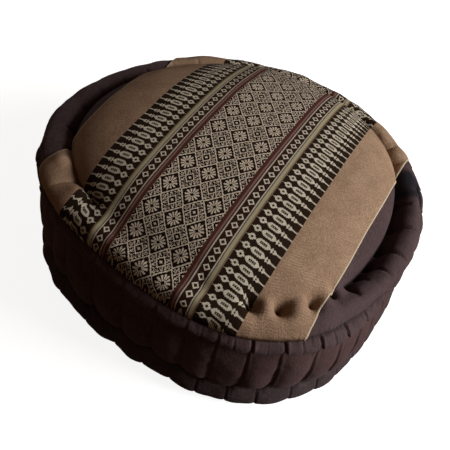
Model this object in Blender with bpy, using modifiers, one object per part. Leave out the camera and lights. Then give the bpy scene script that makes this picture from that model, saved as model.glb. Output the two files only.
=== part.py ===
"""Round quilted meditation cushion with a woven panel laid across its crown.

Metres, +Z up. The cushion stands on z = 0 and its box is centred on the Z axis.
+Y runs along the stripes of the woven panel.
"""
from collections import namedtuple
import math

import bmesh
import bpy
from mathutils import Vector

# Crown of the top disc, from its middle out to the stitched groove: a low dome
# on a fuller pad whose flank is steep at the groove
GROOVE_RADIUS = 0.1558
GROOVE_HEIGHT = 0.1272
DOME_RISE = 0.0107
PAD_RISE = 0.0370
PAD_POWER = 2.96
FLANK_POWER = 2.43
CROWN_RINGS = (0.45, 0.72, 0.88, 0.96, 0.99)

# Stitches of the groove, which dimple the cloth beside them
DIMPLE_DEPTH = 0.0045
DIMPLE_REACH = 0.009

# Cells sewn round the side, and the steps that each is turned in
CELLS = 42
STEPS_A_CELL = 5
CELL_ROUNDNESS = 2.2
FIRST_SEAM = math.radians(285.0)

# The rows of cells from the groove down to the foot. Each ends at a ring of
# stitches and bulges by one amount in mid-cell and by less at a cell's seam,
# which also draws the ring of stitches up a little
Row = namedtuple("Row", "name end_radius end_height puff seam_puff seam_lift rings")
ROWS = (
    Row("top_roll", 0.1834, 0.1229, 0.0115, 0.0090, 0.0, (0.20, 0.45, 0.70, 0.90, 1.0)),
    Row("narrow_band", 0.1867, 0.1096, 0.0055, 0.0030, 0.002, (0.25, 0.75, 1.0)),
    Row("middle_band", 0.1858, 0.0360, 0.0070, 0.0020, 0.002, (0.12, 0.32, 0.60, 0.86, 1.0)),
    Row("foot_roll", 0.1699, 0.0000, 0.0145, 0.0110, 0.0, (0.18, 0.42, 0.68, 1.0)),
)
PLUMPNESS_SWING = 0.12

# The outline is not a true circle: waves round the rim, at the top and the base
Wave = namedtuple("Wave", "count top_cos top_sin base_cos base_sin")
WAVES = (
    Wave(2, 0.0220, 0.0232, 0.0346, 0.0203),
    Wave(3, -0.0249, -0.0102, -0.0082, 0.0095),
    Wave(4, -0.0205, 0.0114, -0.0375, 0.0050),
)
WAVE_TOP_HEIGHT = 0.126
TILT_Y = -0.0486
LEAN_X = -0.0400
LEAN_Y = -0.0051

# The rim is higher in front than behind: waves of its height, as shares of it
RimWave = namedtuple("RimWave", "count cosine sine")
RIM_WAVES = (
    RimWave(1, -0.0243, -0.0367),
    RimWave(2, -0.0270, 0.0046),
    RimWave(3, -0.0113, -0.0068),
)
RIM_WAVE_RADIUS = 0.155
RIM_WAVE_POWER = 4

# The woven panel: its two selvedges, measured across from the groove's centre
PANEL_LEFT = -0.1472
PANEL_RIGHT = 0.1293
PANEL_THICKNESS = 0.0012
PANEL_GAP = 0.0008

COTTON_BROWN = (0.082, 0.050, 0.048, 1.0)
PANEL_TAN = (0.300, 0.220, 0.150, 1.0)


def clear_scene():
    """Remove what the opened file holds."""
    for old in list(bpy.data.objects):
        bpy.data.objects.remove(old, do_unlink=True)


def cloth_material(name, colour, roughness):
    """A plain dull cloth."""
    material = bpy.data.materials.new(name)
    material.use_nodes = True
    shader = material.node_tree.nodes["Principled BSDF"]
    shader.inputs["Base Color"].default_value = colour
    shader.inputs["Roughness"].default_value = roughness
    shader.inputs["Metallic"].default_value = 0.0
    return material


def crown_height(radius):
    """Height of the top disc at a distance from its middle."""
    share = radius / GROOVE_RADIUS
    pad = PAD_RISE * (1.0 - share ** PAD_POWER) ** (1.0 / FLANK_POWER)
    return GROOVE_HEIGHT + pad + DOME_RISE * (1.0 - share * share)


def bulged(start, end, puff, share):
    """A point a share of the way along a row that bulges between its two ends."""
    along = Vector(end) - Vector(start)
    outward = Vector((-along.y, along.x)).normalized()
    return Vector(start) + along * share + outward * (puff * 4.0 * share * (1.0 - share))


def half_sections():
    """The turned outline twice, through mid-cell and through a seam, ring by ring."""
    radii = [0.0] + [share * GROOVE_RADIUS for share in CROWN_RINGS] + [GROOVE_RADIUS]
    full = [Vector((radius, crown_height(radius))) for radius in radii]
    sewn = []
    for point in full:
        dimple = math.exp(-(((GROOVE_RADIUS - point.x) / DIMPLE_REACH) ** 2))
        sewn.append(Vector((point.x, point.y - DIMPLE_DEPTH * dimple)))
    start = (GROOVE_RADIUS, GROOVE_HEIGHT)
    for row in ROWS:
        end = (row.end_radius, row.end_height)
        for share in row.rings:
            full.append(bulged(start, end, row.puff, share))
            sewn_point = bulged(start, end, row.seam_puff, share)
            sewn.append(sewn_point + Vector((0.0, row.seam_lift * share)))
        start = end
    return full, sewn


def turned(name, points):
    """Turn a half section about Z into a mesh, a step at a time."""
    line = bpy.data.meshes.new(name + "_section")
    edges = [(i, i + 1) for i in range(len(points) - 1)]
    line.from_pydata([(p.x, 0.0, p.y) for p in points], edges, [])
    holder = bpy.data.objects.new(name + "_section", line)
    bpy.context.scene.collection.objects.link(holder)
    screw = holder.modifiers.new("turn", "SCREW")
    screw.axis = "Z"
    screw.angle = math.tau
    screw.steps = CELLS * STEPS_A_CELL
    screw.render_steps = screw.steps
    screw.use_merge_vertices = True
    screw.merge_threshold = 0.00002
    graph = bpy.context.evaluated_depsgraph_get()
    mesh = bpy.data.meshes.new_from_object(holder.evaluated_get(graph))
    mesh.name = name
    bpy.data.objects.remove(holder, do_unlink=True)
    return mesh


def outline_scale(angle, height):
    """How far the lopsided rim stands out at an angle, against a true circle."""
    top = min(height / WAVE_TOP_HEIGHT, 1.1)
    scale = 1.0
    for wave in WAVES:
        cosine = wave.top_cos * top + wave.base_cos * (1.0 - top)
        sine = wave.top_sin * top + wave.base_sin * (1.0 - top)
        scale += cosine * math.cos(wave.count * angle) + sine * math.sin(wave.count * angle)
    return scale


def height_scale(angle, radius, y):
    """How much taller the cushion stands at a place, from its tilt and the waves of its rim."""
    wave_height = 0.0
    for wave in RIM_WAVES:
        wave_height += wave.cosine * math.cos(wave.count * angle) + wave.sine * math.sin(wave.count * angle)
    share = min(radius / RIM_WAVE_RADIUS, 1.0) ** RIM_WAVE_POWER
    return 1.0 + TILT_Y * y + wave_height * share


def seam_share(turn):
    """1 on a seam between cells and 0 in mid-cell, with plump and slack cells."""
    place = turn * CELLS / math.tau
    cell = math.floor(place + 1e-6)
    across = abs(2.0 * (place - cell) - 1.0)
    slack = PLUMPNESS_SWING * (0.5 + 0.5 * math.sin(2.4 * (cell % CELLS)))
    share = across ** CELL_ROUNDNESS
    return share + slack * (1.0 - share)


def shape(mesh, full, sewn):
    """Move each turned point to its place on the sewn, lopsided cushion."""
    for vertex in mesh.vertices:
        x, y, z = vertex.co
        radius = math.hypot(x, y)
        here = Vector((radius, z))
        ring = min(range(len(full)), key=lambda i: (full[i] - here).length_squared)
        turn = math.atan2(y, x) % math.tau
        point = full[ring].lerp(sewn[ring], seam_share(turn) if radius > 1e-5 else 0.0)
        angle = turn + FIRST_SEAM
        reach = point.x * outline_scale(angle, point.y)
        x = reach * math.cos(angle)
        y = reach * math.sin(angle)
        tall = point.y * height_scale(angle, point.x, y)
        vertex.co = (x + LEAN_X * point.y, y + LEAN_Y * point.y, tall)


def finished(name, mesh, material, collection):
    """Put a shaped mesh in the scene as one smooth piece."""
    mesh.shade_smooth()
    mesh.materials.clear()
    mesh.materials.append(material)
    piece = bpy.data.objects.new(name, mesh)
    collection.objects.link(piece)
    return piece


def face_outward(mesh):
    """Split the faces into triangles that all agree, and point up at the crown."""
    shell = bmesh.new()
    shell.from_mesh(mesh)
    bmesh.ops.triangulate(shell, faces=shell.faces[:], quad_method="FIXED")
    bmesh.ops.recalc_face_normals(shell, faces=shell.faces)
    crown = max(shell.faces, key=lambda face: face.calc_center_median().z)
    if crown.normal.z < 0.0:
        bmesh.ops.reverse_faces(shell, faces=shell.faces)
    shell.to_mesh(mesh)
    shell.free()


def make_body(collection):
    """The filled cushion: crown, groove, top roll and three rows of cells."""
    full, sewn = half_sections()
    floor_middle = Vector((0.0, 0.0))
    full.append(floor_middle)
    sewn.append(floor_middle)
    mesh = turned("cushion_body", full)
    shape(mesh, full, sewn)
    face_outward(mesh)
    material = cloth_material("brown_cotton", COTTON_BROWN, 0.9)
    body = finished("cushion_body", mesh, material, collection)
    mesh.set_sharp_from_angle(angle=math.radians(75.0))
    return body


def make_panel(collection):
    """The woven panel: the top surface again, lifted, trimmed and thickened."""
    full, sewn = half_sections()
    rings_to_seam = 1 + len(CROWN_RINGS) + len(ROWS[0].rings)
    mesh = turned("woven_panel", full[:rings_to_seam])
    shape(mesh, full[:rings_to_seam], sewn[:rings_to_seam])
    face_outward(mesh)
    cloth = bmesh.new()
    cloth.from_mesh(mesh)
    cloth.normal_update()
    for vertex in cloth.verts:
        vertex.co += vertex.normal * PANEL_GAP
    for edge, side in ((PANEL_LEFT, -1.0), (PANEL_RIGHT, 1.0)):
        parts = cloth.verts[:] + cloth.edges[:] + cloth.faces[:]
        bmesh.ops.bisect_plane(
            cloth, geom=parts, plane_co=(edge, 0.0, 0.0), plane_no=(side, 0.0, 0.0), clear_outer=True
        )
    bmesh.ops.triangulate(cloth, faces=[face for face in cloth.faces if len(face.verts) > 4])
    cloth.to_mesh(mesh)
    cloth.free()
    material = cloth_material("woven_cotton", PANEL_TAN, 0.85)
    panel = finished("woven_panel", mesh, material, collection)
    thick = panel.modifiers.new("thickness", "SOLIDIFY")
    thick.thickness = PANEL_THICKNESS
    thick.offset = 1.0
    return panel


def centre(pieces):
    """Slide all pieces together so that their box is centred on the Z axis."""
    corners = [vertex.co for piece in pieces for vertex in piece.data.vertices]
    middle_x = (min(c.x for c in corners) + max(c.x for c in corners)) / 2.0
    middle_y = (min(c.y for c in corners) + max(c.y for c in corners)) / 2.0
    for piece in pieces:
        for vertex in piece.data.vertices:
            vertex.co.x -= middle_x
            vertex.co.y -= middle_y


def build():
    """Make the whole cushion."""
    clear_scene()
    collection = bpy.data.collections.new("zafu")
    bpy.context.scene.collection.children.link(collection)
    body = make_body(collection)
    panel = make_panel(collection)
    centre([body, panel])


build()
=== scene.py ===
"""Looks of a round quilted meditation cushion with a woven panel across its crown.

Metres, +Z up. The cushion stands on z = 0, and +Y runs along the panel's stripes.
"""
from collections import namedtuple
import math

import bpy
import numpy as np
from mathutils import Matrix, Vector


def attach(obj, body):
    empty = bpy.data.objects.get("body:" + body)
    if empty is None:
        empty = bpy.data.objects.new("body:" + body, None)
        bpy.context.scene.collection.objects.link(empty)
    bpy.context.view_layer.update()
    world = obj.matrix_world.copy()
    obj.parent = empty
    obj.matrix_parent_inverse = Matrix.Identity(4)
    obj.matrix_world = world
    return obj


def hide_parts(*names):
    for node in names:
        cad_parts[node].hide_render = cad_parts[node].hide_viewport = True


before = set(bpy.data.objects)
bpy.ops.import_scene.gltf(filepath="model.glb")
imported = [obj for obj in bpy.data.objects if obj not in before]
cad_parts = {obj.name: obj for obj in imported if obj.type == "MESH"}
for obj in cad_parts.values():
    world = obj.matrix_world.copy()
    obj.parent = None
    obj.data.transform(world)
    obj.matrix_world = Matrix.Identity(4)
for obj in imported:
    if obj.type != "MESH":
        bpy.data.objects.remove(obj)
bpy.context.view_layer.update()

# A millimetre, and a length too short to divide by
MM = 0.001
SHORT = 1e-12

# Crown of the top disc: a low dome on a fuller pad whose flank is steep at the groove
GROOVE_RADIUS = 0.1558
GROOVE_HEIGHT = 0.1272
DOME_RISE = 0.0107
PAD_RISE = 0.0370
PAD_POWER = 2.96
FLANK_POWER = 2.43

# The rows of cells from the groove down to the foot. Each ends at a ring of stitches
# and bulges by puff in mid-cell, and by seam_puff where a cell's seam draws it in. Sag
# over 1 hangs the bulge low
Row = namedtuple("Row", "name end_radius end_height puff seam_puff seam_lift sag rings")
ROWS = (
    Row("top_roll", 0.1834, 0.1229, 0.0114, 0.0110, 0.000, 1.0, 10),
    Row("narrow_band", 0.1867, 0.1080, 0.0062, 0.0046, 0.003, 1.4, 6),
    Row("middle_band", 0.1858, 0.0350, 0.0072, 0.0032, 0.0065, 1.5, 14),
    Row("foot_roll", 0.1699, 0.0000, 0.0148, 0.0134, 0.000, 1.0, 9),
)
CELLS = 42
CROWN_RINGS = 16
BASE_RINGS = 4
COLUMNS = 420
# How many times finer the finished grid is than the coarse one
CROWN_FINER = 4
ROWS_FINER = 3
BASE_FINER = 2
COLUMNS_FINER = 3
FIRST_SEAM = math.radians(285.0)
# The seams that the photograph shows, as turns in degrees. The rest are spaced evenly
SEAMS_SEEN = (239.5, 252.5, 264.0, 275.0, 284.5, 293.0, 301.8, 310.4, 320.6, 329.4, 337.6)
FOOT_SEAMS_ASIDE = 2.5
CELL_ROUNDNESS = 2.8
BULGE_POWER = 2.4
# Unevenness of the cells that the photograph hides: the share of a cell, the waves round the
# rim, and where each wave starts, for each row and for all
UNEVEN_CELLS = ((0.14, 5.0, 0.4, 0.0), (0.10, 11.0, 0.0, 1.0))

# Stitches that draw the groove down, at turns in degrees, with their depth, the length of
# the crease that each sends out across the roll, and how far out each lies, in millimetres
Stitch = namedtuple("Stitch", "turn depth crease out", defaults=(0.0,))
STITCHES = (
    Stitch(1.5, 7.0, 34, 5.0), Stitch(14, 7.0, 30, 5.0), Stitch(25, 5.0, 16, 4.0),
    Stitch(42.5, 6.5, 16, 4.0), Stitch(49.5, 8.0, 18, 4.0), Stitch(56.5, 6.0, 12, 3.0),
    *(Stitch(68 + 12 * k, 2.0, 6) for k in range(4)), Stitch(116, 2.5, 8),
    *(Stitch(127 + 11 * k, 3.0 - 0.5 * (k % 2), 12 + 2 * (k % 2)) for k in range(7)),
    Stitch(204, 3.0, 14), Stitch(213.5, 5.0, 12), Stitch(228.5, 7.0, 26, 1.0),
    Stitch(238.5, 6.0, 8, 1.0), Stitch(248, 1.6, 0), Stitch(261, 1.0, 0), Stitch(273, 1.0, 0),
    Stitch(285, 1.6, 0), Stitch(300.5, 13.0, 0, 6.0), Stitch(309.5, 15.0, 0, 6.5),
    Stitch(320.0, 12.0, 0, 5.0), Stitch(329, 6.5, 6, 2.0), Stitch(337.5, 6.0, 16, 3.0),
    Stitch(344.5, 5.0, 14, 3.0), Stitch(352, 7.0, 24, 4.0),
)
STITCH_WIDTH = 0.0043
# A deeper stitch pulls a wider dimple, by this much for each millimetre
STITCH_SPREAD = 0.00017
STITCH_LENGTH = 0.0064
CREASE_DEPTH = 0.0044
CREASE_WIDTH = 0.0021
CREASE_SPARE = 0.002

# Lobes that the stitches leave between them on the roll: turn, height and distance out from
# the groove, in degrees and millimetres
LOBES = ((220.5, 5.5, 15.0), (233.5, 4.5, 14.0), (305.0, 4.5, 9.0), (315.0, 4.5, 9.0), (325.0, 3.0, 8.0))
LOBE_WIDTH = 0.0080

# A pinch right across the roll: its turn in degrees, its depth and width, how far down from
# the groove it reaches, and the distance over which it fades at both ends
PINCH = 33.5
PINCH_DEPTH = 0.0045
PINCH_WIDTH = 0.0075
PINCH_REACH = 0.040
PINCH_FADE = 0.01

# Stretches round the rim, as turns in degrees: the deepest groove, the low back, the roll
# that overhangs the side, the fuller side and the most gathered band
DEEP = (338.0, 395.0)
LOW_BACK = (42.0, 138.0)
OVERHANGS = ((-20.0, 22.0), (192.0, 240.0))
FULL_SIDE = (-40.0, -8.0)
GATHERED = (296.0, 336.0)

# Long swells and dips of the roll: how far each rises, where its middle lies down from the
# groove, its width, its stretch and the stretch's soft edge in degrees
SWELLS = (
    (-0.0065, 0.004, 0.0105, DEEP, 20.0), (0.0020, 0.024, 0.008, DEEP, 20.0),
    (-0.0035, 0.024, 0.016, LOW_BACK, 30.0), (-0.0050, 0.003, 0.007, LOW_BACK, 30.0),
)

# How far the overhanging roll stands out, where that lies down from the groove and how wide
# it is, how far the side under it is drawn in, and the stretch's soft edge
OVERHANG_OUT = 0.0050
OVERHANG_DOWN = 0.029
OVERHANG_WIDTH = 0.0095
OVERHANG_SIDE_IN = 0.0034
OVERHANG_EDGE = 24.0
FULL_SIDE_OUT = 0.0030
FULL_SIDE_EDGE = 20.0
# Where the side begins down from the groove, the distance over which it is reached, and the
# height over which its moves fade in from the floor
SIDE_DOWN = 0.036
SIDE_RAMP = 0.02
FOOT_FADE = 0.03

# The cloth bridges the groove between two turns in degrees, with a soft edge. The bridge
# leaves the crown and meets the roll at shares of those two
BRIDGE = (239.0, 336.0)
BRIDGE_EDGE = 12.0
BRIDGE_ENDS = (0.70, 0.50)

# Pleats at every seam of a row: how far aside each lies, in metres and as a share of the
# cell, its width and its height
PLEATS = {
    "narrow_band": ((0.0024, 0.0, 0.0011, 0.0009), (0.0, 0.0, 0.0011, -0.0019), (0.0, 0.5, 0.0010, -0.0012)),
    "middle_band": ((0.0024, 0.0, 0.0014, 0.0005), (0.0, 0.0, 0.0010, -0.0007)),
    "foot_roll": ((0.0022, 0.0, 0.0012, 0.0003), (0.0, 0.0, 0.0009, -0.0010)),
}
# The share of their height that pleats keep at a row's ends and where the band is less
# gathered, and how fast they reach full height from an end
PLEAT_AT_END = 0.35
PLEAT_UNGATHERED = 0.3
PLEAT_RISE = 8.0
GATHERED_EDGE = 8.0
FOOT_PLEATS_FROM = 1.2

# The rings of stitches between the rows, from the top: how high the gathers beside each
# stand, and how deep its seam is
RING_SEAMS = ((0.00055, 0.0017), (0.0004, 0.0028), (0.0003, 0.0021))
RING_SEAM_WIDTH = 0.0011
RING_SEAM_SPREAD = 0.45
GATHER_SIZE = 0.0058
GATHER_STRETCH = (1.0, 1.0, 0.12)
GATHER_REACH = 0.0055
GATHER_SEED = 20

# Soft lumps of the filling, as size, seed and height, with the distance from the groove over
# which they rise
SIDE_LUMPS = ((0.046, 3, 0.0011), (0.019, 4, 0.00045))
SIDE_LUMPS_RISE = 0.008
CROWN_LUMPS = ((0.085, 5, 0.0008), (0.03, 6, 0.00022))
CROWN_LUMPS_RISE = 0.02
FOOT_FLAT = 0.006
LUMP_WAVES = 12
LUMP_STRENGTH = 2.2

# How the coarse form is filled: its puff before, the cloth and the air's push, the furthest
# that a point may move, and how fast the crown and the roll are held
FULLNESS_BEFORE = 0.85
FILL_CLOTH = {
    "quality": 6, "mass": 0.3, "tension_stiffness": 20.0, "compression_stiffness": 12.0,
    "shear_stiffness": 8.0, "bending_stiffness": 6.0, "shrink_min": -0.003,
    "use_pressure": True, "uniform_pressure_force": 4.0,
}
FILL_FRAMES = 20
FILL_LIMIT = 0.0065
HOLD_CROWN = 1.0
HOLD_ROLL = 0.6

# The outline is not a true circle: how many waves go round the rim, with their cosine and
# sine at the top, and those at the base
WAVES = (
    (2, 0.0220, 0.0232, 0.0346, 0.0203),
    (3, -0.0249, -0.0102, -0.0082, 0.0095),
    (4, -0.0205, 0.0114, -0.0375, 0.0050),
)
WAVE_TOP_HEIGHT = 0.126
# Waves of the rim's height: how many go round, with their cosine and sine
RIM_WAVES = ((1, -0.0243, -0.0367), (2, -0.0270, 0.0046), (3, -0.0113, -0.0068))
RIM_WAVE_RADIUS = 0.155
RIM_WAVE_POWER = 4
TILT_Y = -0.0486
LEAN = (-0.0400, -0.0051)
SHIFT = (0.005117, -0.000546)

# The woven panel: its selvedges, measured across from the groove's centre
PANEL_LEFT = -0.1472
PANEL_RIGHT = 0.1293
PANEL_THICKNESS = 0.0012
PANEL_LIFT = 0.0009
PANEL_COLUMNS = 210
PANEL_ROWS = 225
# Rows lie closer at the panel's two ends: the share of their place that a sine gives
PANEL_ROWS_EASED = 0.75
PLAN_ROUNDS = 6

# The panel's stripes, in millimetres out from the pattern's middle line
PATTERN_MIDDLE = -14.5
FIELD_EDGE = 34.0
RED_STRIPES = ((FIELD_EDGE, 37.1), (38.8, 39.7))
MAUVE_STRIPE = (37.1, 38.8)
THREAD_LINES = ((40.0, 41.2), (50.6, 51.9))
RINGS_STRIPE = (41.7, 50.3)
OLIVE_STRIPE = (52.6, 57.1)
OLIVE_TURN = (55.2, 56.2)
MOTIF_EDGE = 57.3
TAN_SEAM = 93.7
SELVEDGE = 1.1

# The figures' threads and repeats in millimetres, and the threads in half a repeat
THREAD = 0.61
THREAD_COVER = 0.84
FIELD_ACROSS = 22.7
FIELD_ALONG = 28.0
FIELD_START = -9.5
HALF_ACROSS = 19.0
HALF_ALONG = 23.0
MOTIF_ALONG = 9.33
MOTIF_START = -4.8
MOTIF_OUT = 57.6
MOTIF_FOLD = 8.0
RING_OUT = 46.1
RING_THREAD = 0.56
RING_THREADS = (3.5, 6.5)
RING_ALONG = 1.04
DOT_GAP = 0.45

# How the cloth lies askew: fine and slow wavering of the threads in millimetres, the skew of
# the rows, their stretch at the far end and shift over the near roll, and the pattern's
# stretch at the left
WAVER_ACROSS = 0.25
WAVER_ALONG = 0.2
DRIFT = 0.8
SKEW = 0.024
NEAR_SKEW = 0.0003
FAR_STRETCH = 0.042
NEAR_ROLL = (122.0, 150.0)
NEAR_ROLL_SHIFT = 4.0
LEFT_STRETCH = 0.0006

# Ribs and slanting ripples of the tan weave: their pitch in millimetres, and how the ripples
# slant and waver
RIB_PITCH = 0.9
RIPPLE_PITCH = 2.1
RIPPLE_SLANT = (0.42, 0.80)
RIPPLE_WAVER = 11.25

# The camera, as the photograph was taken
CAMERA_AZIMUTH = math.radians(16.561)
CAMERA_ELEVATION = math.radians(49.766)
CAMERA_DISTANCE = 0.6945
CAMERA_ROLL = math.radians(16.276)
CAMERA_LENS = 52.0
CAMERA_SENSOR = 36.0
LOOK_AT = (0.00582, -0.02555, 0.0679)

# The lamps, as name, power, size, azimuth, elevation and distance, and what they look at
LAMPS = (("window", 32.0, 1.0, 16.0, 27.0, 1.6), ("back", 4.0, 1.2, 140.0, 12.0, 2.0))
LAMPS_LOOK_AT = (0.0, 0.0, 0.1)
FILL_COLOUR = (1.0, 0.62, 0.40, 1.0)
FILL_STRENGTH = 0.065
FLOOR_SIZE = 18.0
ROOM_RADIUS = 8.0
PAPER_COLOUR = (0.55, 0.55, 0.55, 1.0)
PAPER_GLOW = 0.88
WHITE = (1.0, 1.0, 1.0, 1.0)


def bulged(start, end, puff, share, sag=1.0):
    """Points of a row, with share s along its chord from 0 to 1.

    Each stands out from the chord by puff (1 - |2 s^sag - 1|^2.4).
    """
    start, end = np.array(start), np.array(end)
    along = end - start
    outward = np.array([-along[1], along[0]]) / np.hypot(*along)
    swell = puff * (1.0 - np.abs(2.0 * share ** sag - 1.0) ** BULGE_POWER)
    return start + share[:, None] * along + swell[:, None] * outward


def crown_section(count):
    """Radius and height of the crown, for s = sin(t) with t from 0 to a right angle.

    A pad (1 - s^p)^(1/q) carries a low dome 1 - s^2.
    """
    s = np.sin(np.linspace(0.0, math.pi / 2.0, count + 1))
    pad = PAD_RISE * np.maximum(1.0 - s ** PAD_POWER, 0.0) ** (1.0 / FLANK_POWER)
    return np.stack([GROOVE_RADIUS * s, GROOVE_HEIGHT + pad + DOME_RISE * (1.0 - s * s)], -1)


def row_places():
    """Row number of every ring of the coarse grid, 0 crown to 5 base, and its share along the row."""
    numbers = [np.zeros(CROWN_RINGS + 1, int)]
    shares = [np.linspace(0.0, 1.0, CROWN_RINGS + 1)]
    for number, row in enumerate(ROWS, 1):
        numbers.append(np.full(row.rings, number))
        shares.append(np.linspace(0.0, 1.0, row.rings + 1)[1:])
    numbers.append(np.full(BASE_RINGS, len(ROWS) + 1))
    shares.append(np.linspace(0.0, 1.0, BASE_RINGS + 1)[1:])
    return np.concatenate(numbers), np.concatenate(shares)


def half_sections(fullness):
    """The outline through mid-cell and through a seam: arrays of (radius, height)."""
    crown = crown_section(CROWN_RINGS)
    full, sewn = [crown], [crown]
    start = (GROOVE_RADIUS, GROOVE_HEIGHT)
    for row in ROWS:
        end = (row.end_radius, row.end_height)
        share = np.linspace(0.0, 1.0, row.rings + 1)[1:]
        puff = row.seam_puff + (row.puff - row.seam_puff) * fullness
        full.append(bulged(start, end, puff, share, row.sag))
        lift = np.stack([0.0 * share, row.seam_lift * share], -1)
        sewn.append(bulged(start, end, row.seam_puff, share, row.sag) + lift)
        start = end
    inward = ROWS[-1].end_radius * np.linspace(1.0, 0.0, BASE_RINGS + 1)[1:]
    base = np.stack([inward, 0.0 * inward], -1)
    full.append(base)
    sewn.append(base)
    return np.concatenate(full), np.concatenate(sewn)


def outline_scale(angle, height):
    """How far the lopsided rim stands out at an angle, against a true circle."""
    top = np.minimum(height / WAVE_TOP_HEIGHT, 1.1)
    scale = 1.0
    for count, top_cos, top_sin, base_cos, base_sin in WAVES:
        cosine = top_cos * top + base_cos * (1.0 - top)
        sine = top_sin * top + base_sin * (1.0 - top)
        scale = scale + cosine * np.cos(count * angle) + sine * np.sin(count * angle)
    return scale


def placed(radius, height, angle):
    """Radius and height at an angle, as a point of the lopsided, slightly tilted cushion."""
    reach = radius * outline_scale(angle, height)
    x, y = reach * np.cos(angle), reach * np.sin(angle)
    rim = np.minimum(radius / RIM_WAVE_RADIUS, 1.0) ** RIM_WAVE_POWER
    wave_height = 0.0
    for count, cosine, sine in RIM_WAVES:
        wave_height = wave_height + cosine * np.cos(count * angle) + sine * np.sin(count * angle)
    tall = height * (1.0 + TILT_Y * y + wave_height * rim)
    return np.stack([x + LEAN[0] * height + SHIFT[0], y + LEAN[1] * height + SHIFT[1], tall], -1)


def cell_place(turn, number):
    """Where each column lies in its row's cells: 3.5 is the middle of the fourth cell."""
    row = ROWS[min(max(number, 1), len(ROWS)) - 1]
    aside = FOOT_SEAMS_ASIDE if row.name == "foot_roll" else 0.0
    past_first = (np.degrees(turn + FIRST_SEAM) + aside - SEAMS_SEEN[0]) % 360.0
    seams = np.array(SEAMS_SEEN + (SEAMS_SEEN[0] + 360.0,)) - SEAMS_SEEN[0]
    cells = (*range(len(SEAMS_SEEN)), CELLS)
    place = np.interp(past_first, seams, cells)
    hidden = np.sin(math.pi * np.clip((place - cells[-2]) / (CELLS - cells[-2]), 0.0, 1.0)) ** 2
    uneven = sum(share * np.sin(waves * turn + row_start * number + start)
                 for share, waves, row_start, start in UNEVEN_CELLS)
    return place + hidden * uneven


def coarse_points(fullness):
    """Grid of points, rings by columns, from the middle of the crown to the middle of the base."""
    full, sewn = half_sections(fullness)
    numbers, _ = row_places()
    turn = column_turns(COLUMNS)
    across = np.stack([cell_place(turn, number) for number in numbers])
    share = np.abs(2.0 * (across % 1.0) - 1.0) ** CELL_ROUNDNESS
    radius = full[:, :1] + (sewn - full)[:, :1] * share
    height = full[:, 1:] + (sewn - full)[:, 1:] * share
    return placed(radius, height, turn + FIRST_SEAM)


def between(first, second, third, fourth, t):
    """A point between the second and third of four, on the smooth curve through all four."""
    return second + 0.5 * t * (
        third - first + t * (2.0 * first - 5.0 * second + 4.0 * third - fourth
                             + t * (3.0 * (second - third) + fourth - first)))


def finer_rings(points, times):
    """More rings along the first axis, times as many, on smooth curves that end at the row's ends."""
    before, after = 2.0 * points[:1] - points[1:2], 2.0 * points[-1:] - points[-2:-1]
    line = np.concatenate([before, points, after])
    steps = [between(line[:-3], line[1:-2], line[2:-1], line[3:], k / times) for k in range(times)]
    woven = np.stack(steps, 1).reshape(-1, *points.shape[1:])
    return np.concatenate([woven, points[-1:]])


def finer_columns(points, times):
    """More columns along the second axis, times as many, on smooth curves closed into a ring."""
    first, third, fourth = np.roll(points, 1, 1), np.roll(points, -1, 1), np.roll(points, -2, 1)
    steps = [between(first, points, third, fourth, k / times) for k in range(times)]
    return np.stack(steps, 2).reshape(len(points), -1, 3)


def refined(points):
    """The coarse grid made finer row by row, so that every ring of stitches stays a crease."""
    numbers, _ = row_places()
    finer = (CROWN_FINER, *(ROWS_FINER for _ in ROWS), BASE_FINER)
    pieces, fine_numbers, fine_shares = [], [], []
    start = 0
    for number, times in enumerate(finer):
        last = np.flatnonzero(numbers == number)[-1]
        piece = finer_rings(points[start:last + 1], times)
        skip = 0 if number == 0 else 1
        pieces.append(piece[skip:])
        fine_numbers.append(np.full(len(piece) - skip, number))
        fine_shares.append(np.linspace(0.0, 1.0, len(piece))[skip:])
        start = last
    grid = finer_columns(np.concatenate(pieces), COLUMNS_FINER)
    return grid, np.concatenate(fine_numbers), np.concatenate(fine_shares)


def grid_faces(rings, columns, closed):
    """Quads of a grid of rings by columns, joined round its columns if closed."""
    across = columns if closed else columns - 1
    i, j = np.meshgrid(np.arange(rings - 1), np.arange(across), indexing="ij")
    k = (j + 1) % columns
    a, b = i * columns + j, i * columns + k
    return np.stack([a, a + columns, b + columns, b], -1).reshape(-1, 4)


def closed_mesh(points):
    """Points and faces of a closed grid whose first and last rings are each one point."""
    rings, columns = points.shape[:2]
    loose = np.concatenate([points[1:-1].reshape(-1, 3), points[:1, 0], points[-1:, 0]])
    quads = grid_faces(rings - 2, columns, True)
    j = np.arange(columns)
    k = (j + 1) % columns
    crown, base, last = len(loose) - 2, len(loose) - 1, (rings - 3) * columns
    crown_fan = np.stack([np.full(columns, crown), j, k], -1)
    base_fan = np.stack([np.full(columns, base), last + k, last + j], -1)
    return loose, quads.tolist() + crown_fan.tolist() + base_fan.tolist()


def mesh_object(name, points, faces):
    """A smooth mesh object at the origin from its points and faces."""
    mesh = bpy.data.meshes.new(name)
    mesh.from_pydata(points.tolist(), [], faces)
    mesh.shade_smooth()
    piece = bpy.data.objects.new(name, mesh)
    bpy.context.scene.collection.objects.link(piece)
    return piece


def normals_of(grid, closed):
    """Outward unit normals of a grid of points, from its slopes along and across."""
    along = np.gradient(grid, axis=0)
    if closed:
        across = (np.roll(grid, -1, 1) - np.roll(grid, 1, 1)) / 2.0
    else:
        across = np.gradient(grid, axis=1)
    normal = np.cross(along, across)
    length = np.linalg.norm(normal, axis=-1, keepdims=True)
    return normal / np.maximum(length, SHORT)


def column_turns(columns):
    """Turn of each column from the first seam, in radians."""
    return np.arange(columns) * math.tau / columns


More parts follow.
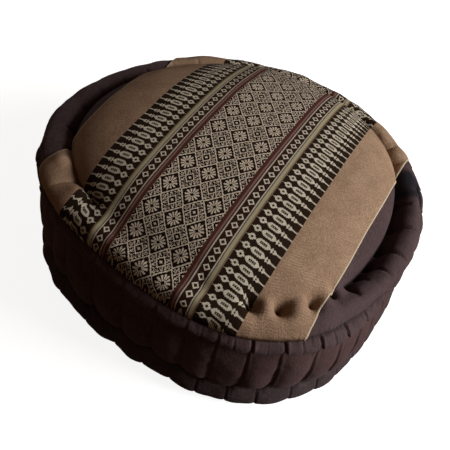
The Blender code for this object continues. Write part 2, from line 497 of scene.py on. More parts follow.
def lumps(points, size, seed):
    """Soft lumps about size apart, roughly -1 to 1: the mean of sine waves in fixed directions."""
    chance = np.random.default_rng(seed)
    way = chance.normal(size=(LUMP_WAVES, 3))
    way = way / np.linalg.norm(way, axis=1, keepdims=True) * chance.uniform(0.6, 1.5, (LUMP_WAVES, 1))
    start = chance.uniform(0.0, math.tau, LUMP_WAVES)
    return np.sin(points @ (way * math.tau / size).T + start).mean(-1) * LUMP_STRENGTH


def bell(distance, width):
    """1 at no distance, falling smoothly to nothing over about two widths."""
    return np.exp(-((distance / width) ** 2))


def turned(angle, centre):
    """Degrees from a centre, the short way round."""
    return (angle - centre + 180.0) % 360.0 - 180.0


def window(angle, limits, edge):
    """1 between two turns in degrees, with soft edges, else 0."""
    middle, reach = (limits[0] + limits[1]) / 2.0, (limits[1] - limits[0]) / 2.0
    return np.clip((reach - np.abs(turned(angle, middle))) / edge + 0.5, 0.0, 1.0)


def reach_and_way(grid):
    """Distance out of each point from the middle of its ring, and the way there in plan."""
    out = (grid - grid.mean(1, keepdims=True))[..., :2]
    reach = np.linalg.norm(out, axis=-1)
    return reach, out / np.maximum(reach, SHORT)[..., None]


def measures(grid):
    """Metres down each column from the groove, and metres round each ring per degree of turn."""
    step = np.linalg.norm(np.diff(grid, axis=0), axis=-1)
    down = np.concatenate([np.zeros((1, grid.shape[1])), np.cumsum(step, 0)])
    return down - down[CROWN_RINGS * CROWN_FINER], reach_and_way(grid)[0] * math.tau / 360.0


def bridged(grid):
    """The cloth laid over the groove, on a cubic that leaves the crown and meets the roll smoothly.

    s runs from 0 on the crown to 1 on the roll's crest by distance out, and
    z = (2s^3 - 3s^2 + 1) a + (s^3 - 2s^2 + s) a' + (3s^2 - 2s^3) b, so it is level at b.
    """
    leave = int(CROWN_RINGS * CROWN_FINER * BRIDGE_ENDS[0])
    meet = CROWN_RINGS * CROWN_FINER + int(ROWS[0].rings * ROWS_FINER * BRIDGE_ENDS[1])
    reach, _ = reach_and_way(grid)
    inside = slice(leave, meet + 1)
    span = reach[meet] - reach[leave]
    s = np.clip((reach[inside] - reach[leave]) / span, 0.0, 1.0)
    a, b = grid[leave, :, 2], grid[meet, :, 2]
    slope = (grid[leave, :, 2] - grid[leave - 2, :, 2]) / (reach[leave] - reach[leave - 2]) * span
    leaving = ((2.0 * s - 3.0) * s * s + 1.0) * a + ((s - 2.0) * s + 1.0) * s * slope
    over = leaving + (3.0 - 2.0 * s) * s * s * b
    turn = np.degrees(FIRST_SEAM + column_turns(grid.shape[1]))
    ease = window(turn, BRIDGE, BRIDGE_EDGE)
    lifted = grid.copy()
    lifted[inside, :, 2] += np.maximum(over - grid[inside, :, 2], 0.0) * ease * ease * (3.0 - 2.0 * ease)
    return lifted


def groove_shaped(grid):
    """The groove and the roll drawn down at every stitch, with the long swells and the overhang."""
    down, per_degree = measures(grid)
    turn = np.degrees(FIRST_SEAM + column_turns(grid.shape[1]))
    rise = np.zeros(down.shape)
    for height, middle, width, stretch, edge in SWELLS:
        rise = rise + height * bell(down - middle, width) * window(turn, stretch, edge)
    for stitch in STITCHES:
        aside = turned(turn, stitch.turn) * per_degree
        width = STITCH_WIDTH + STITCH_SPREAD * stitch.depth
        pull = bell(aside, width) * bell(down - MM * stitch.out, STITCH_LENGTH)
        rise = rise - MM * stitch.depth * pull
        if stitch.crease:
            past = np.clip(1.0 - down / (MM * stitch.crease + CREASE_SPARE), 0.0, 1.0) * (down > 0.0)
            rise = rise - CREASE_DEPTH * np.sqrt(past) * bell(aside, CREASE_WIDTH)
    for centre, height, out in LOBES:
        aside = turned(turn, centre) * per_degree
        rise = rise + MM * height * bell(aside, LOBE_WIDTH) * bell(down - MM * out, LOBE_WIDTH)
    across = np.clip(down / PINCH_FADE, 0.0, 1.0) * np.clip((PINCH_REACH - down) / PINCH_FADE, 0.0, 1.0)
    rise = rise - PINCH_DEPTH * across * bell(turned(turn, PINCH) * per_degree, PINCH_WIDTH)
    lifted = grid.copy()
    lifted[..., 2] += rise
    side = np.clip((down - SIDE_DOWN) / SIDE_RAMP, 0.0, 1.0)
    overhang = OVERHANG_OUT * bell(down - OVERHANG_DOWN, OVERHANG_WIDTH) - OVERHANG_SIDE_IN * side
    outward = overhang * sum(window(turn, stretch, OVERHANG_EDGE) for stretch in OVERHANGS)
    outward = outward + FULL_SIDE_OUT * side * window(turn, FULL_SIDE, FULL_SIDE_EDGE)
    outward = outward * np.clip(grid[..., 2] / FOOT_FADE, 0.0, 1.0)
    lifted[..., :2] += reach_and_way(grid)[1] * outward[..., None]
    return lifted


def pleated(down, per_degree, number, share):
    """Height of the pleats at every seam of the rows."""
    turn = column_turns(down.shape[1])
    ends = np.clip(np.minimum(share, 1.0 - share) * PLEAT_RISE, 0.0, 1.0)
    ends = PLEAT_AT_END + (1.0 - PLEAT_AT_END) * ends
    gathered = window(np.degrees(turn + FIRST_SEAM), GATHERED, GATHERED_EDGE)
    gathered = PLEAT_UNGATHERED + (1.0 - PLEAT_UNGATHERED) * gathered
    strengths = {"narrow_band": gathered, "middle_band": 1.0, "foot_roll": FOOT_PLEATS_FROM - share}
    height = np.zeros(down.shape)
    for k, row in enumerate(ROWS, 1):
        if row.name not in PLEATS:
            continue
        place = cell_place(turn, k)
        cell = per_degree * 360.0 / CELLS
        off_seam = (place - np.round(place)) * cell
        pleat = sum(tall * bell(off_seam - aside - part * cell, width)
                    for aside, part, width, tall in PLEATS[row.name])
        height = height + (number == k) * pleat * strengths[row.name] * ends
    return height


def sewn_down(grid, numbers, shares):
    """Creases, pleats, gathers and lumps, each a height along the surface's normal."""
    down, per_degree = measures(grid)
    number, share = numbers[:, None], shares[:, None]
    height = pleated(down, per_degree, number, share)
    ends_at = [np.flatnonzero(numbers == k)[-1] for k in range(1, len(ROWS))]
    for ring, (gather, depth) in zip(ends_at, RING_SEAMS):
        away = down - down[ring]
        ripple = lumps(grid * GATHER_STRETCH, GATHER_SIZE, GATHER_SEED + ring)
        beside = np.exp(-np.abs(away) / GATHER_REACH) * np.clip(np.abs(away) / MM, 0.2, 1.0)
        height = height + gather * ripple * beside
        height = height - depth * bell(away, RING_SEAM_WIDTH + RING_SEAM_SPREAD * depth)
    side = np.clip(down / SIDE_LUMPS_RISE, 0.0, 1.0) * (number <= len(ROWS))
    crown = np.clip(-down / CROWN_LUMPS_RISE, 0.0, 1.0)
    for place, sizes in ((side, SIDE_LUMPS), (crown, CROWN_LUMPS)):
        height = height + place * sum(lumps(grid, size, seed) * tall for size, seed, tall in sizes)
    flat = np.clip(grid[..., 2] / FOOT_FLAT, 0.0, 1.0)
    shaped = grid + normals_of(grid, True) * (height * flat)[..., None]
    shaped[..., 2] = np.maximum(shaped[..., 2], 0.0)
    return shaped


def holds(numbers, shares):
    """How firmly each point of the coarse grid is held while it is filled, from 0 to 1.

    Stitch rings, cell seams and the base are held fully, the crown and the roll in part.
    """
    turn = column_turns(COLUMNS)
    hold = np.zeros((len(numbers), COLUMNS))
    for k, number in enumerate(numbers):
        place = cell_place(turn, number)
        seam = np.abs(place - np.round(place)) < 0.5 * CELLS / COLUMNS + 1e-9
        base = {0: HOLD_CROWN, 1: HOLD_ROLL, len(ROWS) + 1: 1.0}.get(int(number), 0.0)
        hold[k] = np.where((seam & (number > 1)) | (shares[k] == 1.0), 1.0, base)
    return hold


def filled(points):
    """The coarse grid after a cloth simulation has filled it, no point moved past the limit."""
    numbers, shares = row_places()
    before, faces = closed_mesh(points)
    pad = mesh_object("filling", before, faces)
    hold = holds(numbers, shares)
    weights = np.concatenate([hold[1:-1].ravel(), (HOLD_CROWN, 1.0)])
    held = pad.vertex_groups.new(name="held")
    for weight in np.unique(weights):
        if weight > 0.0:
            held.add(np.flatnonzero(weights == weight).tolist(), float(weight), "REPLACE")
    cloth = pad.modifiers.new("cloth", "CLOTH")
    for name, value in FILL_CLOTH.items():
        setattr(cloth.settings, name, value)
    cloth.settings.vertex_group_mass = "held"
    cloth.settings.effector_weights.gravity = 0.0
    cloth.point_cache.frame_start = 1
    cloth.point_cache.frame_end = FILL_FRAMES
    for frame_number in range(1, FILL_FRAMES + 1):
        bpy.context.scene.frame_set(frame_number)
    settled = pad.evaluated_get(bpy.context.evaluated_depsgraph_get()).to_mesh()
    after = np.zeros(len(settled.vertices) * 3)
    settled.vertices.foreach_get("co", after)
    after = after.reshape(-1, 3)
    mesh = pad.data
    bpy.data.objects.remove(pad)
    bpy.data.meshes.remove(mesh)
    bpy.context.scene.frame_set(1)
    move = after - before
    far = np.linalg.norm(move, axis=1, keepdims=True)
    kept = before + move * np.minimum(1.0, FILL_LIMIT / np.maximum(far, SHORT))
    result = points.copy()
    result[1:-1] = kept[:-2].reshape(len(points) - 2, -1, 3)
    result[0], result[-1] = kept[-2], kept[-1]
    result[..., 2] = np.maximum(result[..., 2], 0.0)
    return result


def body_grid():
    """The finished fine grid of the filled cushion, with each ring's row and share."""
    points = filled(coarse_points(FULLNESS_BEFORE))
    smooth, numbers, shares = refined(points)
    smooth = bridged(smooth)
    grid = sewn_down(groove_shaped(smooth), numbers, shares)
    grid[0], grid[-1] = grid[0].mean(0), grid[-1].mean(0)
    return grid, smooth, numbers, shares


def make_body(grid, numbers, shares):
    """The filled cushion as one closed surface. Its attribute row counts the rows down it."""
    body = mesh_object("cushion", *closed_mesh(grid))
    rows = np.repeat((numbers + shares)[1:-1], grid.shape[1])
    row = body.data.attributes.new("row", "FLOAT", "POINT")
    row.data.foreach_set("value", np.concatenate([rows, (0.0, len(ROWS) + 2.0)]))
    return body


def surface_at(points, ring, column):
    """Points of the body's grid at fractional ring and column, straight between its points."""
    columns = points.shape[1]
    i = np.clip(np.floor(ring).astype(int), 0, len(points) - 2)
    j = np.floor(column).astype(int)
    s, t = (ring - i)[..., None], (column - j)[..., None]
    a, b = j % columns, (j + 1) % columns
    upper = points[i, a] * (1.0 - t) + points[i, b] * t
    lower = points[i + 1, a] * (1.0 - t) + points[i + 1, b] * t
    return upper * (1.0 - s) + lower * s


def ring_and_column(x, y):
    """Ring and column of the body's grid for points seen from above."""
    crown = crown_section(CROWN_RINGS * CROWN_FINER)
    row = ROWS[0]
    share = np.linspace(0.0, 1.0, row.rings * ROWS_FINER + 1)[1:]
    roll = bulged(crown[-1], (row.end_radius, row.end_height), row.puff, share)
    section = np.concatenate([crown, roll])
    ring = np.zeros_like(x)
    for _ in range(PLAN_ROUNDS):
        tall = np.interp(ring, np.arange(len(section)), section[:, 1])
        px, py = x - SHIFT[0] - LEAN[0] * tall, y - SHIFT[1] - LEAN[1] * tall
        angle = np.arctan2(py, px)
        reach = np.hypot(px, py) / outline_scale(angle, tall)
        ring = np.interp(reach, section[:, 0], np.arange(len(section)))
    return ring, ((angle - FIRST_SEAM) % math.tau) / math.tau * COLUMNS * COLUMNS_FINER


def panel_points(points, last):
    """Grid of the woven panel, lying on the body: straight columns in plan from seam to seam."""
    x = np.linspace(PANEL_LEFT, PANEL_RIGHT, PANEL_COLUMNS) + SHIFT[0]
    seam = points[last]
    near = seam[seam[:, 1] < SHIFT[1]]
    far = seam[seam[:, 1] >= SHIFT[1]]
    near, far = near[np.argsort(near[:, 0])], far[np.argsort(far[:, 0])]
    start = np.interp(x, near[:, 0], near[:, 1])
    end = np.interp(x, far[:, 0], far[:, 1])
    t = np.linspace(-1.0, 1.0, PANEL_ROWS)
    eased = np.sin(t * math.pi / 2.0) * PANEL_ROWS_EASED + t * (1.0 - PANEL_ROWS_EASED)
    y = 0.5 * (start + end)[None, :] + 0.5 * (end - start)[None, :] * eased[:, None]
    ring, column = ring_and_column(np.broadcast_to(x[None, :], y.shape), y)
    ring = np.minimum(ring, last)
    ring[0], ring[-1] = last, last
    return surface_at(points, ring, column)


def make_panel(points, smooth, last):
    """The woven panel: a thin sheet on the crown, the groove and the top roll.

    Its cloth measure is the plan's x and the length along the undrawn surface, so that
    the stitches pull the pattern in with them.
    """
    grid = panel_points(points, last)
    even = panel_points(smooth, last)
    grid = grid - normals_of(grid, False) * PANEL_LIFT
    rows, columns = grid.shape[:2]
    faces = grid_faces(rows, columns, False)[:, ::-1]
    panel = mesh_object("woven_panel_cloth", grid.reshape(-1, 3), faces.tolist())
    along = np.linalg.norm(np.diff(even, axis=0), axis=-1)
    v = np.concatenate([np.zeros((1, columns)), np.cumsum(along, 0)])
    middle = np.array([np.interp(SHIFT[1], even[:, j, 1], v[:, j]) for j in range(columns)])
    v = v - middle[None, :]
    u = np.broadcast_to(np.linspace(PANEL_LEFT, PANEL_RIGHT, columns)[None, :], v.shape)
    cloth = panel.data.uv_layers.new(name="cloth")
    loops = np.zeros(len(panel.data.loops), int)
    panel.data.loops.foreach_get("vertex_index", loops)
    cloth.data.foreach_set("uv", np.stack([u, v], -1).reshape(-1, 2)[loops].ravel())
    thick = panel.modifiers.new("thickness", "SOLIDIFY")
    thick.thickness = PANEL_THICKNESS
    thick.offset = 1.0
    return panel


def shade(red, green, blue):
    """A colour given as it looks on a screen, 0 to 255, as a linear colour."""
    channels = np.array([red, green, blue]) / 255.0
    linear = np.where(channels <= 0.04045, channels / 12.92, ((channels + 0.055) / 1.055) ** 2.4)
    return (*linear.tolist(), 1.0)


def operator(operation, reflected=False):
    """A method that adds a Math node for an operation, with its terms swapped if reflected."""
    def method(self, *others):
        terms = (self, *others)
        return self.finish.math(operation, *(terms[::-1] if reflected else terms))
    return method


class Value:
    """A number that varies over a surface. Arithmetic on it adds Math nodes.

    folded runs back and forth between 0 and a reach, as a mirrored pattern repeats.
    """

    def __init__(self, finish, socket):
        self.finish = finish
        self.socket = socket

    __add__ = __radd__ = operator("ADD")
    __mul__ = __rmul__ = operator("MULTIPLY")
    __sub__, __rsub__ = operator("SUBTRACT"), operator("SUBTRACT", True)
    __truediv__, __mod__ = operator("DIVIDE"), operator("FLOORED_MODULO")
    __rpow__ = operator("POWER", True)
    __lt__, __gt__ = operator("LESS_THAN"), operator("GREATER_THAN")
    __abs__, floor, sine = operator("ABSOLUTE"), operator("FLOOR"), operator("SINE")
    folded = operator("PINGPONG")


class Finish:
    """One material, and the nodes that make it."""

    def __init__(self, name, roughness, specular):
        self.material = bpy.data.materials.new(name)
        self.material.use_nodes = True
        self.tree = self.material.node_tree
        self.inputs = self.tree.nodes["Principled BSDF"].inputs
        self.give({"Roughness": roughness, "Specular IOR Level": specular})

    def give(self, values):
        """Feed the shader's own inputs by name."""
        for name, value in values.items():
            self.feed(self.inputs[name], value)

    def node(self, kind, settings=None, sockets=None):
        """Add a node: its settings first, then the values or links of its sockets."""
        node = self.tree.nodes.new(kind)
        for name, value in (settings or {}).items():
            if name == "stops":
                ramp = node.color_ramp
                while len(ramp.elements) < len(value):
                    ramp.elements.new(1.0)
                for element, (position, colour) in zip(ramp.elements, value):
                    element.position = position
                    element.color = colour
            elif name == "interpolation_of_stops":
                node.color_ramp.interpolation = value
            else:
                setattr(node, name, value)
        for key, value in (sockets or {}).items():
            self.feed(node.inputs[key], value)
        return node

    def feed(self, socket, value):
        """Give a socket a value, or a link from another socket."""
        value = value.socket if isinstance(value, Value) else value
        if isinstance(value, bpy.types.NodeSocket):
            self.tree.links.new(value, socket)
        else:
            socket.default_value = value

    def math(self, operation, *terms):
        """One Math node on one or two terms."""
        node = self.node("ShaderNodeMath", {"operation": operation}, dict(enumerate(terms)))
        return Value(self, node.outputs[0])

    def mix(self, share, first, second):
        """The first colour, turned into the second by share."""
        sockets = {0: share, 6: first, 7: second}
        return self.node("ShaderNodeMix", {"data_type": "RGBA"}, sockets).outputs[2]

    def noise(self, vector, scale, detail=2.0, roughness=0.5):
        """Soft noise from 0 to 1 at a scale."""
        sockets = {"Vector": vector, "Scale": scale, "Detail": detail, "Roughness": roughness}
        return Value(self, self.node("ShaderNodeTexNoise", {}, sockets).outputs["Fac"])

    def within(self, value, *spans):
        """1 where a value lies between the limits of one of some spans, else 0."""
        parts = [(value > low) * (value < high) for low, high in spans]
        return sum(parts[1:], parts[0])

    def eased(self, value, low, high):
        """0 below the low limit, 1 above the high one, smooth between."""
        settings = {"interpolation_type": "SMOOTHSTEP"}
        sockets = {"Value": value, "From Min": low, "From Max": high}
        return Value(self, self.node("ShaderNodeMapRange", settings, sockets).outputs[0])

    def chart_cell(self, numbers, row, place):
        """A cell of a woven chart: one bit of its row's number, which a stepped ramp gives."""
        unit = float(2 ** 20)
        stops = [(k / len(numbers), (number / unit, 0.0, 0.0, 1.0)) for k, number in enumerate(numbers)]
        settings = {"interpolation_of_stops": "CONSTANT", "stops": stops}
        ramp = self.node("ShaderNodeValToRGB", settings, {"Fac": (row + 0.5) / len(numbers)})
        red = self.node("ShaderNodeSeparateColor", {}, {"Color": ramp.outputs["Color"]}).outputs["Red"]
        number = Value(self, red) * unit
        return ((number + 0.5) / 2.0 ** place).floor() % 2.0

    def bumped(self, height, strength, distance):
        """Feed the normal with a height, as bump."""
        sockets = {"Strength": strength, "Distance": distance, "Height": height}
        self.give({"Normal": self.node("ShaderNodeBump", {}, sockets).outputs["Normal"]})


# One half of the side band's motif, from its middle line outwards: spike, ring flower,
# long ring, half flower and stem
MOTIF_HALF = (
    "#.#####.....####.######..#..#..#..##########..################",
    "...#####...#####.######...........######.###..#####.#.#.#.#.#.",
    ".....####.####....#####.#.#.#.#.#.#####..########.............",
    "......#######......###################....##..##..............",
    "......#######.......#################.....#...................",
    "........###...........##.###.###.##...........................",
    *("." * 62 for _ in range(3)),
)

# The field's light lines, by diamond distance, and the dashes that are cut from them, by
# distance with their start, pitch and length
FIELD_LINES = ((-1.0, 2.3), (6.6, 8.6), (9.6, 12.9), (14.1, 17.2), (18.5, 20.9))
FIELD_DASHES = ((9.6, 12.6, 1.2, 4.5, 3.0), (14.7, 18.2, -1.7, 6.6, 4.2))
PETAL_PITCH = 30.0
PETAL_WIDTH = 17.0
PETAL_SPAN = (2.2, 10.8)
FLOWER_DIAMOND = 13.1


def field_numbers():
    """The field's quarter chart as one whole number a row, 20 threads across and 24 along.

    t is the diamond distance from the far corner, where the diamonds in diamonds have
    their middle, and s runs along their sides. The flower at the near corner has twelve
    petals inside a circle and a smaller diamond.
    """
    x, y = np.meshgrid(np.arange(HALF_ACROSS + 1.0), np.arange(HALF_ALONG + 1.0))
    t = (2.0 - (x / HALF_ACROSS + y / HALF_ALONG)) * HALF_ACROSS
    s = np.abs((HALF_ACROSS - x) - (HALF_ALONG - y) * HALF_ACROSS / HALF_ALONG)
    light = np.zeros(x.shape, bool)
    for low, high in FIELD_LINES:
        light |= (t >= low) & (t < high)
    for low, high, start, pitch, length in FIELD_DASHES:
        light &= ~((t >= low) & (t < high) & (np.mod(s + start, pitch) < length))
    even = y * HALF_ACROSS / HALF_ALONG
    away, way = np.hypot(x, even), np.degrees(np.arctan2(even, x))
    petal = np.abs(way % PETAL_PITCH - PETAL_PITCH / 2.0) < PETAL_WIDTH / 2.0
    petal &= (away > PETAL_SPAN[0]) & (away < PETAL_SPAN[1])
    light |= petal & (t > 2.0 * HALF_ACROSS - FLOWER_DIAMOND)
    return (light * 2 ** np.arange(light.shape[1])).sum(1).tolist()


def motif_numbers():
    """The side band's chart as one whole number for each pair of threads, nine bits a thread."""
    marks = np.array([[mark == "#" for mark in line] for line in MOTIF_HALF])
    columns = (marks * 2 ** np.arange(len(marks))[:, None]).sum(0)
    return (columns[0::2] + 2 ** len(marks) * columns[1::2]).tolist()


def figures(finish, u, v, out):
    """Where the cream threads show: the field, the side bands, the rings and the lines between."""
    across = (u / (FIELD_ACROSS / (2.0 * HALF_ACROSS))).folded(HALF_ACROSS)
    along = ((v - FIELD_START) / (FIELD_ALONG / (2.0 * HALF_ALONG))).folded(HALF_ALONG)
    field = finish.chart_cell(field_numbers(), (along + 0.5).floor(), (across + 0.5).floor())
    step = ((v - MOTIF_START) / (MOTIF_ALONG / (2.0 * MOTIF_FOLD))).folded(MOTIF_FOLD)
    thread = ((out - MOTIF_OUT) / THREAD).floor()
    pair = (thread / 2.0).floor()
    bit = (step + 0.5).floor() + float(len(MOTIF_HALF)) * (thread - 2.0 * pair)
    motif = finish.chart_cell(motif_numbers(), pair, bit)
    ring_way = (abs(out - RING_OUT) / RING_THREAD + 0.5).floor() + (step * RING_ALONG + 0.5).floor()
    ring = finish.within(ring_way, RING_THREADS)
    dotted = ((v / THREAD).floor() % 2.0) * (1.0 - DOT_GAP) + DOT_GAP
    cream = (out < FIELD_EDGE) * field + (out > MOTIF_EDGE) * motif
    cream = cream + finish.within(out, RINGS_STRIPE) * ring + finish.within(out, *THREAD_LINES) * dotted
    return cream * (((v / THREAD) % 1.0) < THREAD_COVER) * (1.0 - (out > TAN_SEAM))


# Colours of the panel's grounds and stripes, and the two tones of its cream and tan threads
STRIPE_GROUND, FIELD_GROUND, MOTIF_GROUND = shade(48, 27, 19), shade(27, 14, 8), shade(39, 26, 15)
RED, MAUVE, SELVEDGE_THREAD = shade(78, 42, 34), shade(124, 94, 86), shade(200, 186, 160)
OLIVE = (shade(168, 157, 128), shade(122, 102, 78))
CREAM = (shade(194, 182, 160), shade(222, 210, 190))
FIELD_CREAM = (shade(196, 178, 156), shade(230, 213, 191))
TAN, RUBBED_TAN = (shade(114, 87, 67), shade(191, 161, 132)), shade(138, 108, 88)


def woven_cotton():
    """The panel's cloth: tan plain weave beside a figured band of cream threads on dark grounds."""
    finish = Finish("woven_cotton_cloth", 0.82, 0.08)
    cloth = finish.node("ShaderNodeUVMap", {"uv_map": "cloth"}).outputs[0]
    parts = finish.node("ShaderNodeSeparateXYZ", {}, {"Vector": cloth})
    place = finish.node("ShaderNodeTexCoord").outputs["Object"]
    waver = finish.noise(place, 420.0, 1.0) - 0.5
    drift = (finish.noise(place, 22.0, 2.0) - 0.5) * DRIFT
    plain_u = Value(finish, parts.outputs["X"]) / MM
    u = plain_u - PATTERN_MIDDLE + waver * WAVER_ACROSS + drift
    v = Value(finish, parts.outputs["Y"]) / MM + waver * WAVER_ALONG + drift
    far, near = finish.math("MAXIMUM", v, 0.0), finish.math("MINIMUM", v, 0.0)
    v = v - u * SKEW + far * FAR_STRETCH - u * near * NEAR_SKEW
    v = v - finish.eased(0.0 - near, *NEAR_ROLL) * NEAR_ROLL_SHIFT
    out = abs(u) * (1.0 + finish.math("MAXIMUM", 0.0 - u, 0.0) * LEFT_STRETCH)
    cream = figures(finish, u, v, out)
    tan_part = out > TAN_SEAM

    mottle = finish.noise(place, 90.0, 3.0)
    ground = finish.mix(out < FIELD_EDGE, STRIPE_GROUND, FIELD_GROUND)
    ground = finish.mix(out > MOTIF_EDGE, ground, MOTIF_GROUND)
    ground = finish.mix(finish.within(out, *RED_STRIPES), ground, RED)
    ground = finish.mix(finish.within(out, MAUVE_STRIPE), ground, MAUVE)
    olive = finish.mix(finish.eased(out, *OLIVE_TURN), *OLIVE)
    ground = finish.mix(finish.within(out, OLIVE_STRIPE), ground, olive)
    light = finish.mix(out < FIELD_EDGE, finish.mix(mottle, *CREAM), finish.mix(mottle, *FIELD_CREAM))
    figured = finish.mix(cream, ground, light)

    ribs = (v * (math.tau / RIB_PITCH)).sine() * 0.5 + 0.5
    slant = v * RIPPLE_SLANT[1] - u * RIPPLE_SLANT[0] + drift * RIPPLE_WAVER
    ripple = (slant * (math.tau / RIPPLE_PITCH)).sine() * 0.5 + 0.5
    ripple = ripple * finish.eased(finish.noise(place, 60.0, 2.0), 0.3, 0.65)
    grain = finish.eased(finish.noise(place, 620.0, 2.0, 0.65), 0.32, 0.68)
    tan_tone = ribs * 0.15 + mottle * 0.25 + ripple * 0.25 + grain * 0.35
    rubbed = finish.eased(finish.noise(place, 14.0, 2.0), 0.35, 0.7)
    tan_shade = finish.mix(rubbed * 0.35, finish.mix(tan_tone, *TAN), RUBBED_TAN)
    colour = finish.mix(tan_part, figured, tan_shade)
    edge = (plain_u < PANEL_LEFT / MM + SELVEDGE) + (plain_u > PANEL_RIGHT / MM - SELVEDGE)
    colour = finish.mix(edge * 0.7, colour, SELVEDGE_THREAD)
    finish.give({"Base Color": colour})

    picks = (v * (math.tau / THREAD)).sine() * 0.5
    ends = (u * (math.tau / THREAD)).sine() * 0.5
    weave = cream * (1.2 + picks * 0.5) + (1.0 - cream) * (picks * ends) * 0.8 + mottle * 0.5 + edge
    finish.bumped(weave + tan_part * (grain * 0.9 + ripple * 0.5), 0.7, 0.00035)
    return finish.material


# Painted shade at the rings of stitches: the row attribute there, and the painted shade's reach above and
# below
PAINTED_SEAM_SHADES = ((2.0, 0.050, 0.12), (3.0, 0.14, 0.032), (4.0, 0.032, 0.050))
# Colours of the brown cotton: two tones each for the roll, the middle band and the foot. The foot's tones
# are its own cloth, darkened further and cooled as painted shade
ROLL_BROWN = (shade(66, 51, 51), shade(82, 66, 68))
BAND_BROWN = (shade(68, 48, 45), shade(84, 61, 58))
FOOT_BROWN_AND_SHADE = (shade(53, 45, 46), shade(68, 58, 59))
RUBBED, DARK_GRAIN, LINT = shade(96, 73, 72), shade(44, 34, 35), shade(130, 110, 106)
# Painted shade at the rings of stitches, painted shade across the pinch, and the sheen's tint
PAINTED_SEAM_SHADE, PAINTED_PINCH_SHADE, SHEEN = shade(30, 22, 22), shade(21, 20, 27), shade(200, 180, 190)
# How far round from the pinch its painted shade reaches, and the rows that it crosses
PINCH_SHADE_SPREAD = (math.radians(7.0), math.radians(4.5))
PINCH_SHADE_ROWS = (1.0, 2.3)


def brown_cotton():
    """The cushion's own cloth: dull purple-brown plain weave, rubbed a little lighter, with lint, and with
    shade painted at the rings of stitches, across the pinch and, in part, on the foot.
    """
    finish = Finish("brown_cotton_cloth", 0.9, 0.15)
    place = finish.node("ShaderNodeTexCoord").outputs["Object"]
    fine = finish.noise(place, 260.0, 3.0, 0.6)
    lint = finish.noise(place, 900.0, 2.0, 0.7)
    grain = finish.eased(finish.noise(place, 640.0, 2.0, 0.65), 0.34, 0.66)
    row = Value(finish, finish.node("ShaderNodeAttribute", {"attribute_name": "row"}).outputs["Fac"])
    wide = finish.eased(finish.noise(place, 11.0, 3.0), 0.3, 0.7)
    colour = finish.mix(finish.within(row, (3.0, 4.0)), finish.mix(wide, *ROLL_BROWN),
                        finish.mix(wide, *BAND_BROWN))
    # The foot's darker tones are partly painted shade
    colour = finish.mix(row > 4.0, colour, finish.mix(wide, *FOOT_BROWN_AND_SHADE))
    colour = finish.mix(finish.eased(fine, 0.35, 0.75) * 0.5, colour, RUBBED)
    colour = finish.mix(grain * 0.30, colour, DARK_GRAIN)
    # Each ring of stitches is darkened towards a painted shade
    for seam, above, below in PAINTED_SEAM_SHADES:
        line = finish.eased(row, seam - above, seam) * (1.0 - finish.eased(row, seam, seam + below))
        colour = finish.mix(line * 0.65, colour, PAINTED_SEAM_SHADE)
    parts = finish.node("ShaderNodeSeparateXYZ", {}, {"Vector": place})
    turn = finish.math("ARCTAN2", parts.outputs["Y"], parts.outputs["X"])
    # A dark band of painted shade across the roll at the pinch
    painted_pinch_shade = finish.eased(abs(turn - math.radians(PINCH)), *PINCH_SHADE_SPREAD) * finish.within(row, PINCH_SHADE_ROWS)
    colour = finish.mix(painted_pinch_shade * 0.95, colour, PAINTED_PINCH_SHADE)
    colour = finish.mix(finish.eased(lint, 0.66, 0.8) * 0.35, colour, LINT)
    finish.give({"Base Color": colour})
    finish.bumped(fine * 0.6 + lint * 0.4 + grain * 0.5, 0.6, 0.0006)
    finish.give({"Sheen Weight": 0.10, "Sheen Roughness": 0.45, "Sheen Tint": SHEEN})
    return finish.material


def floor_paper():
    """Plain pale floor, bright enough to stay pale in the cushion's shadow."""
    finish = Finish("floor_paper", 0.9, 0.15)
    finish.give({"Base Color": PAPER_COLOUR, "Emission Color": WHITE, "Emission Strength": PAPER_GLOW})
    return finish.material


def direction(turn, rise):
    """The way out at a turn from +X about +Z and a rise."""
    return Vector((math.cos(turn) * math.cos(rise), math.sin(turn) * math.cos(rise), math.sin(rise)))


def lamp(name, power, size, azimuth, elevation, distance):
    """A soft square lamp that looks at the cushion from an azimuth and an elevation in degrees."""
    light = bpy.data.lights.new(name, "AREA")
    light.energy = power
    light.size = size
    piece = bpy.data.objects.new(name, light)
    bpy.context.scene.collection.objects.link(piece)
    away = direction(math.radians(azimuth), math.radians(elevation))
    piece.location = Vector(LAMPS_LOOK_AT) + away * distance
    piece.rotation_euler = away.to_track_quat("Z", "Y").to_euler()


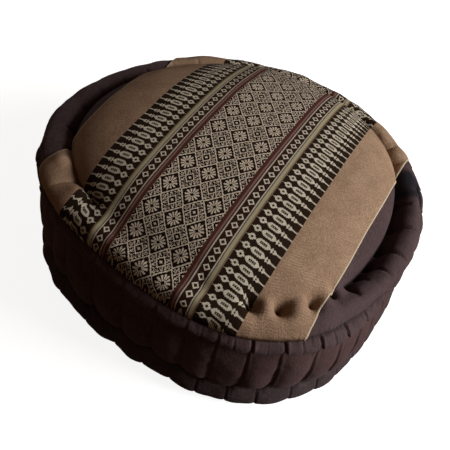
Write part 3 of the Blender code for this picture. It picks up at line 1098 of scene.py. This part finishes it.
def make_stage():
    """A pale floor, a pale room round it, a window light from the right, a weak one behind, and fill."""
    paper = floor_paper()
    bpy.ops.mesh.primitive_plane_add(size=FLOOR_SIZE)
    floor = bpy.context.object
    floor.name = "floor"
    bpy.ops.mesh.primitive_uv_sphere_add(segments=48, ring_count=24, radius=ROOM_RADIUS)
    room = bpy.context.object
    room.name = "room"
    room.visible_shadow = False
    for stage in (floor, room):
        stage.data.materials.append(paper)
        stage.visible_diffuse = False
        stage.visible_glossy = False
    world = bpy.data.worlds.new("studio")
    bpy.context.scene.world = world
    world.use_nodes = True
    background = world.node_tree.nodes["Background"].inputs
    background["Color"].default_value = FILL_COLOUR
    background["Strength"].default_value = FILL_STRENGTH
    for values in LAMPS:
        lamp(*values)
    bpy.context.scene.view_settings.view_transform = "Standard"


def make_camera():
    """The camera, turned about its own axis as the photograph is."""
    camera = bpy.data.objects.new("camera", bpy.data.cameras.new("camera"))
    bpy.context.scene.collection.objects.link(camera)
    camera.data.lens = CAMERA_LENS
    camera.data.sensor_width = CAMERA_SENSOR
    away = direction(CAMERA_AZIMUTH - math.pi / 2.0, CAMERA_ELEVATION)
    camera.location = Vector((SHIFT[0], SHIFT[1], LOOK_AT[2])) + away * CAMERA_DISTANCE
    forward = (Vector(LOOK_AT) - camera.location).normalized()
    level = forward.cross(Vector((0.0, 0.0, 1.0))).normalized()
    upright = level.cross(forward)
    right = math.cos(CAMERA_ROLL) * level + math.sin(CAMERA_ROLL) * upright
    up = -math.sin(CAMERA_ROLL) * level + math.cos(CAMERA_ROLL) * upright
    camera.rotation_euler = Matrix((right, up, -forward)).transposed().to_euler()
    bpy.context.scene.camera = camera


grid, smooth, ring_rows, ring_shares = body_grid()
body = make_body(grid, ring_rows, ring_shares)
body.data.materials.append(brown_cotton())
panel = make_panel(grid, smooth, int((ring_rows <= 1).sum()) - 1)
panel.data.materials.append(woven_cotton())
for piece in (body, panel):
    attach(piece, "root")
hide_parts("cushion_body")
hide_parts("woven_panel")
make_stage()
make_camera()
